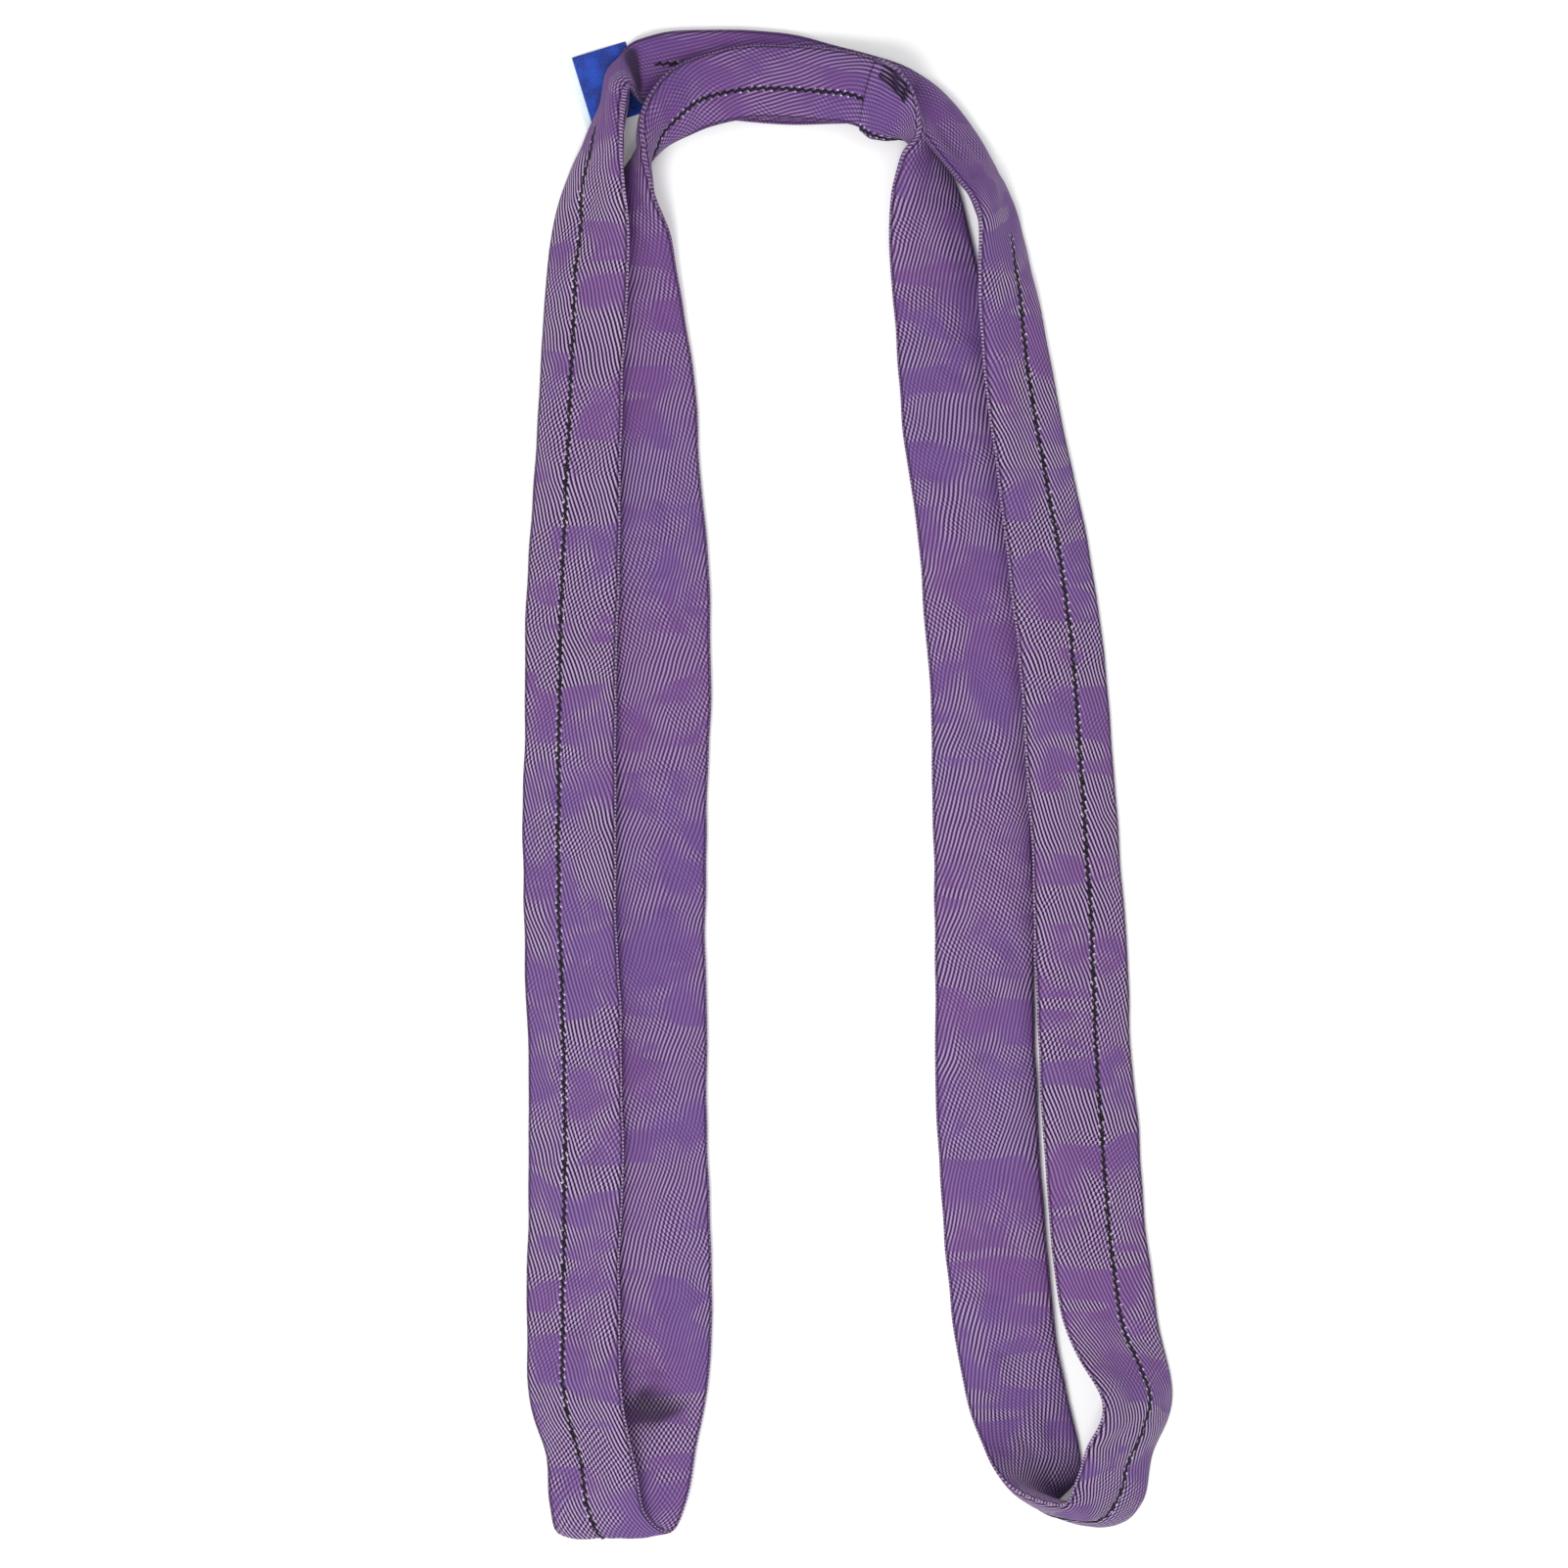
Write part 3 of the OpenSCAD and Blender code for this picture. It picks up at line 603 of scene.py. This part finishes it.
def cloth_material():
    """Violet plain weave with painted glints and painted shade on its threads in patches, painted shade in
    its creases and dents, and pressed, dotted rims with a painted shadow line and painted highlights.
    """
    g = Graph("violet_cloth")
    rest = g.attribute("rest", "Vector")
    across = g.attribute("across")
    along = g.attribute("along")
    rim = g.attribute("rim")
    seam = g.calc("ABSOLUTE", g.attribute("seam"))

    # Steep and slanting lines of the weave, painted as glints on the threads and shade between them, bent
    # by noise as the cloth shifts. In places only the steep ones show.
    sway = g.calc("MULTIPLY", g.noise(rest, STEEP_BENDS[0]), STEEP_BENDS[1])
    sag = g.calc("MULTIPLY", g.noise(g.shift(rest, (300, 0, 0)), SLANT_BENDS[0]), SLANT_BENDS[1])
    steep_lean = g.calc("ADD", across, g.calc("MULTIPLY", along, STEEP_LEAN))
    slant_lean = g.calc("ADD", across, g.calc("MULTIPLY", along, SLANT_LEAN))
    steep = g.wave(g.calc("ADD", steep_lean, sway), STEEP)
    slant = g.wave(g.calc("ADD", slant_lean, sag), SLANT)
    kind = g.step(g.noise(g.shift(rest, (0, 500, 0)), KIND_LENGTH, 2.0, 0.4), 0.44, 0.56)
    pattern = g.calc("ADD", steep, g.calc("MULTIPLY", slant, g.blend(kind, 0.15, 0.9)))

    # Patches where the painted glints and shade of the threads stand out from the smooth ground, some of
    # them sharply cut off.
    spots = g.step(g.noise(rest, SPOT_LENGTH, 2.0, 0.4), 0.42, 0.62)
    wide = g.node("VectorMath", {0: rest, 1: (0.35, 1.6, 1.0)}, operation="MULTIPLY")
    bands = g.step(g.noise(wide, BAND_LENGTH, 1.5), 0.54, 0.57)
    strength = g.calc("MAXIMUM", spots, bands)
    strength = g.calc("MULTIPLY", g.blend(strength, 0.3, 1.0), g.attribute("bold"))
    crisp = g.node("Clamp", {0: g.calc("MULTIPLY", pattern, CRISPNESS), 1: -1.0, 2: 1.0})
    pattern = g.calc("MULTIPLY", crisp, strength)

    ground = g.mix(g.step(g.noise(rest, HUE_LENGTH), 0.4, 0.6), VIOLET_BLUE, VIOLET_RED)
    # Painted shade in creases and dents, darker the deeper they lie.
    painted_hollow_shade = g.step(g.attribute("painted_hollow_shade"), 0.8, 3.2, 0.0, 0.75)
    # Painted glints on the light side of the lines, painted shade on the dark side.
    light = g.calc("MAXIMUM", pattern, 0.0)
    dark = g.calc("MAXIMUM", g.calc("MULTIPLY", pattern, -DARKNESS), 0.0)
    colour = g.mix(light, ground, PAINTED_GLINT)
    colour = g.mix(dark, colour, SHADE)
    colour = g.mix(painted_hollow_shade, colour, SHADE)

    # The pressed rims: a painted shadow line just inside each rim, and on the rim a row of light dots on
    # painted shade, with a painted highlight that makes the dots brighter on the raised high rim.
    painted_rim_shadow = g.calc("MULTIPLY", g.step(rim, 0.5, 0.9), g.step(rim, 1.1, 1.8, 0.7, 0.0))
    colour = g.mix(painted_rim_shadow, colour, SHADE)
    on_rim = g.step(rim, 0.3, 0.75, 0.85, 0.0)
    # Painted highlight: the dots are brighter towards the high rim.
    dots = g.calc("MULTIPLY", g.step(g.wave(along, DOTS), -0.3, 0.5), g.step(across, -1.0, 1.0, 0.3, 1.0))
    dots = g.calc("MULTIPLY", dots, g.step(g.attribute("bold"), 0.4, 0.9, 0.4, 1.0))
    colour = g.mix(on_rim, colour, g.mix(dots, g.mix(0.6, ground, SHADE), RIM_LIGHT))

    # White under-thread shows at the needle holes on both sides of the seam.
    near = g.step(seam, 0.7, 1.1, 0.0, 1.0)
    near = g.calc("MULTIPLY", near, g.step(seam, 1.3, 1.8, 1.0, 0.0))
    turned = g.calc("MULTIPLY", g.wave(along, STITCH), g.calc("SIGN", g.attribute("seam")))
    holes = g.calc("MULTIPLY", g.step(turned, 0.6, 0.95), g.step(g.noise(rest, 7), 0.4, 0.6))
    colour = g.mix(g.calc("MULTIPLY", near, holes), colour, HOLE_LIGHT)

    fuzz = g.noise(rest, 0.6, 1.0)
    height = g.calc("ADD", pattern, g.calc("MULTIPLY", fuzz, 0.5))
    return g.finish(
        Base_Color=colour, Roughness=g.blend(light, 0.72, 0.5), Normal=g.bump(height, 0.1),
        Sheen_Weight=0.05, Sheen_Roughness=0.4, Specular_IOR_Level=0.16)


def thread_material():
    """Black twisted thread with a painted highlight along its plies."""
    g = Graph("black_thread")
    rest = g.attribute("rest", "Vector")
    plies = g.wave(g.calc("ADD", g.attribute("along"), g.noise(rest, 2.0)), 0.9)
    # Painted highlight on the plies.
    colour = g.mix(g.step(plies, 0.3, 1.0), (0.003, 0.003, 0.004), (0.02, 0.018, 0.024))
    return g.finish(Base_Color=colour, Roughness=0.6, Specular_IOR_Level=0.2, Normal=g.bump(plies, 0.12))


def yarn_material():
    """Off-white yarns lying side by side, with loose, fuzzy fibres."""
    g = Graph("white_yarn")
    rest = g.attribute("rest", "Vector")
    along = g.attribute("along")
    stretched = g.node("CombineXYZ", {0: along, 1: g.noise(rest, 1.2), 2: 0.0})
    fibres = g.noise(stretched, 1.5, 3.0)
    colour = g.mix(fibres, (0.62, 0.58, 0.48), (0.86, 0.84, 0.77))
    return g.finish(Base_Color=colour, Roughness=0.85, Normal=g.bump(fibres, 0.3), Sheen_Weight=0.3)


def label_material():
    """Blue film, a little glossy and uneven, with no print on it."""
    g = Graph("blue_film")
    rest = g.attribute("rest", "Vector")
    cloudy = g.noise(rest, 9, 2.0)
    colour = g.mix(g.step(cloudy, 0.35, 0.7), (0.001, 0.018, 0.20), (0.002, 0.05, 0.40))
    grain = g.noise(rest, 0.7, 2.0)
    return g.finish(
        Base_Color=colour, Roughness=g.blend(grain, 0.45, 0.6), Normal=g.bump(grain, 0.02),
        Specular_IOR_Level=0.15)


def film_material():
    """Clear soft film, slightly hazy."""
    g = Graph("clear_film")
    rest = g.attribute("rest", "Vector")
    haze = g.noise(rest, 5, 2.0)
    clear = g.step(g.attribute("inward"), -0.6, 0.2, 1.0, 0.02)
    return g.finish(
        Base_Color=g.mix(haze, (0.70, 0.86, 0.95), (0.88, 0.94, 0.98)), Roughness=g.blend(haze, 0.12, 0.3),
        Alpha=g.calc("MULTIPLY", g.blend(haze, 0.3, 0.6), clear), Normal=g.bump(haze, 0.2),
        Specular_IOR_Level=0.1)


# ---------------------------------------------------------------- placement


def bend(piece):
    """Bakes the piece's placement into its points, without bending it."""
    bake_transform(piece)


# ---------------------------------------------------------------- sling

cloth = cloth_material()
thread = thread_material()
yarn = yarn_material()

# Each part of the band: name, the places where it starts and ends, its fold, and its CAD sections.
PARTS = (
    ("top_outer_left", TOP_CUT, LEFT_UPPER_OUTER, "left_upper_fold", ("top_outer", "left_upper_outer")),
    ("left_outer", LEFT_UPPER_OUTER, LEFT_LOWER_OUTER, "left_middle_fold",
     ("left_upper_outer", "left_lower_outer")),
    ("left_eye", LEFT_LOWER_OUTER, LEFT_LOWER_INNER, "left_eye_fold",
     ("left_lower_outer", "left_eye", "left_lower_inner")),
    ("left_inner", LEFT_LOWER_INNER, LEFT_UPPER_INNER, "left_middle_fold",
     ("left_lower_inner", "left_upper_inner")),
    ("top_inner", LEFT_UPPER_INNER, CUFF, "left_upper_fold", ("left_upper_inner", "top_inner")),
    ("top_cuff", CUFF, RIGHT_UPPER_INNER, "right_upper_fold", ("top_cuff", "right_upper_inner")),
    ("right_inner", RIGHT_UPPER_INNER, RIGHT_LOWER_INNER, "right_middle_fold",
     ("right_upper_inner", "right_lower_inner")),
    ("right_eye", RIGHT_LOWER_INNER, RIGHT_LOWER_OUTER, "right_eye_fold",
     ("right_lower_inner", "right_eye", "right_lower_outer")),
    ("right_outer", RIGHT_LOWER_OUTER, RIGHT_UPPER_OUTER, "right_middle_fold",
     ("right_lower_outer", "right_upper_outer")),
    ("top_outer_right", RIGHT_UPPER_OUTER, COUNT, "right_upper_fold", ("right_upper_outer", "top_outer")),
)
# Each layer of the band: its CAD nodes' prefix, its pieces' prefix, its maker, material and slot.
LAYERS = (
    ("jacket", "cloth", make_jacket, cloth, "jacket_cloth"),
    ("core", "yarn", make_core, yarn, "core_yarn"),
    ("seam", "thread", make_seam, thread, "sewing_thread"),
)

for part, start, end, fold, sections in PARTS:
    for layer, prefix, make, material, slot in LAYERS:
        cuffed = part == "top_cuff"
        reach = TUCK if (layer, part) == ("jacket", "top_inner") else 0
        piece = make(f"{prefix}_{part}", start, end + reach, material, cuffed)
        bend(piece)
        nodes = [f"{layer}_{section}" for section in sections]
        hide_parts(*[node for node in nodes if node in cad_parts])


# ---------------------------------------------------------------- cuff stitches

# Number of stitches, and where across the band the first one lies and how far on the last, in shares
# of its half width. Each runs between two places past the cuff's mouth.
TACKS = 4
TACK_FIRST = 0.64
TACK_ROW = 0.26
TACK_START = 0.2
TACK_END = 0.95
TACK_POINTS = 15
TACK_ARCH = 0.5
TACK_HALF_T = 0.4


def make_tacks(material):
    """Short arched stitches that hold the cuff to the end inside it."""
    points = []
    faces = []
    angles = -2 * math.pi * np.arange(THREAD_SIDES) / THREAD_SIDES
    outline_x = TACK_HALF_T * np.cos(angles)[None, :, None]
    outline_y = TACK_HALF_T * np.sin(angles)[None, :, None]
    s = np.linspace(length_at(CUFF + TACK_START), length_at(CUFF + TACK_END), TACK_POINTS)
    _, side, face, _, _ = band(s)
    arch = CUFF_LIFT + TACK_ARCH * np.sin(np.linspace(0, math.pi, TACK_POINTS))[:, None]
    for number in range(TACKS):
        share = np.full((TACK_POINTS, 1), TACK_FIRST + TACK_ROW * number / (TACKS - 1))
        centre = skin(s, share, np.ones((1, 1)), arch, False)
        rings = centre + side[:, None, :] * outline_x + face[:, None, :] * outline_y
        first = number * TACK_POINTS * THREAD_SIDES
        points.append(rings.reshape(-1, 3))
        faces += [[first + i for i in corners] for corners in rod_faces(TACK_POINTS, THREAD_SIDES)]
    points = np.concatenate(points)
    return make_piece("thread_cuff_tacks", points, faces, material, along=points[:, 0])


tacks = make_tacks(thread)
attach(tacks, "top_bight")
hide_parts("cuff_tacks")


# ---------------------------------------------------------------- label

# The label and its clear cover, which is wider by a margin at the left and lies above a small gap.
LABEL_W = 26.0
LABEL_L = 34.0
LABEL_T = 0.45
COVER_T = 0.2
COVER_MARGIN = 3.6
COVER_GAP = 0.1
# Turn and top left corner of the label, its height above the ground, and how far it bows up.
LABEL_TURN = math.radians(17)
LABEL_CORNER = (-127 - CENTRE[0], 336 - CENTRE[1])
LABEL_REST = 0.25
LABEL_BOW = 0.9
SHEET_STEP = 1.0


def sheet(name, left, right, length, low, thickness, material):
    """A thin bowed sheet turned with the label, between two distances from its left edge."""
    x = np.linspace(left, right, int((right - left) / SHEET_STEP) + 2)
    y = np.linspace(0, -length, int(length / SHEET_STEP) + 2)
    grid_x, grid_y = np.meshgrid(x, y, indexing="ij")
    bow = LABEL_BOW * np.sin(math.pi * np.clip((grid_x + COVER_MARGIN) / (LABEL_W + COVER_MARGIN), 0, 1))
    place_x = LABEL_CORNER[0] + grid_x * math.cos(LABEL_TURN) - grid_y * math.sin(LABEL_TURN)
    place_y = LABEL_CORNER[1] + grid_x * math.sin(LABEL_TURN) + grid_y * math.cos(LABEL_TURN)
    layers = [np.stack([place_x, place_y, low + bow + up], axis=-1) for up in (0, thickness)]
    rows, columns = grid_x.shape
    j, i = np.meshgrid(np.arange(rows - 1), np.arange(columns - 1), indexing="ij")
    a = (j * columns + i).ravel()
    bottom = np.stack([a, a + columns, a + columns + 1, a + 1], axis=-1)
    shift = rows * columns
    rim = [*range(columns)]
    rim += [j * columns + columns - 1 for j in range(1, rows)]
    rim += [(rows - 1) * columns + i for i in range(columns - 2, -1, -1)]
    rim += [j * columns for j in range(rows - 2, 0, -1)]
    sides = [[b, a, a + shift, b + shift] for a, b in zip(rim, rim[1:] + rim[:1])]
    faces = bottom.tolist() + (bottom[:, ::-1] + shift).tolist() + sides
    points = np.concatenate([layer.reshape(-1, 3) for layer in layers])
    return make_piece(name, points, faces, material, inward=np.tile(grid_x.ravel(), 2))


label = sheet("label_sheet", 0.0, LABEL_W, LABEL_L, LABEL_REST, LABEL_T, label_material())
bend(label)
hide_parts("label_flap", "label_hem")

cover_low = LABEL_REST + LABEL_T + COVER_GAP
cover = sheet("label_film", -COVER_MARGIN, LABEL_W, LABEL_L, cover_low, COVER_T, film_material())
bend(cover)
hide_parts("label_cover")

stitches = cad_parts["label_stitches"]
stitches.data.materials.clear()
stitches.data.materials.append(thread)


# ---------------------------------------------------------------- stage

# Length of the sling, and side of the floor.
LENGTH = cad_high.y - cad_low.y
FLOOR_SIDE = 8 * LENGTH
FLOOR_GREY = (0.86, 0.86, 0.86)
FLOOR_GLOW = 0.08
WHITE = (1.0, 1.0, 1.0)
SKY_STRENGTH = 0.8
# Name, place and size of each lamp, in lengths of the sling, and its strength in watts.
LAMPS = (
    ("key", (-0.9, -1.5, 3.4), 1.6, 50),
    ("fill", (1.2, 1.4, 2.6), 2.0, 7),
)
# The picture shows this many lengths of the sling, and the sling lies to the right in it.
FIELD = 1.0414
VIEW_SHIFT = -0.0431
LENS = 250.0
SENSOR = 36.0
# The camera sees as far as this many times its height.
CLIP_REACH = 4


def make_floor():
    mesh = bpy.data.meshes.new("floor")
    reach = FLOOR_SIDE / 2
    corners = [(-reach, -reach, 0), (reach, -reach, 0), (reach, reach, 0), (-reach, reach, 0)]
    mesh.from_pydata(corners, [], [(0, 1, 2, 3)])
    g = Graph("pale_floor")
    mesh.materials.append(g.finish(
        Base_Color=FLOOR_GREY, Roughness=0.9, Specular_IOR_Level=0.1,
        Emission_Color=WHITE, Emission_Strength=FLOOR_GLOW))
    floor = bpy.data.objects.new("floor", mesh)
    bpy.context.scene.collection.objects.link(floor)


def make_lamp(name, place, size, watts):
    lamp = bpy.data.lights.new(name, "AREA")
    lamp.size = size * LENGTH
    lamp.energy = watts
    holder = bpy.data.objects.new(name, lamp)
    holder.location = Vector(place) * LENGTH
    holder.rotation_euler = (-holder.location).to_track_quat("-Z", "Y").to_euler()
    bpy.context.scene.collection.objects.link(holder)


def make_camera():
    camera = bpy.data.cameras.new("camera")
    camera.lens = LENS
    camera.sensor_width = SENSOR
    field = FIELD * LENGTH
    distance = field / 2 / (SENSOR / 2 / LENS)
    camera.clip_end = CLIP_REACH * distance
    holder = bpy.data.objects.new("camera", camera)
    middle = (cad_low + cad_high) / 2
    holder.location = (middle.x + VIEW_SHIFT * LENGTH, middle.y, distance)
    bpy.context.scene.collection.objects.link(holder)
    bpy.context.scene.camera = holder


def make_world():
    world = bpy.data.worlds.new("studio")
    world.use_nodes = True
    background = world.node_tree.nodes["Background"]
    background.inputs["Color"].default_value = (*WHITE, 1.0)
    background.inputs["Strength"].default_value = SKY_STRENGTH
    bpy.context.scene.world = world


make_floor()
for lamp in LAMPS:
    make_lamp(*lamp)
make_camera()
make_world()
bpy.context.scene.view_settings.view_transform = "Standard"
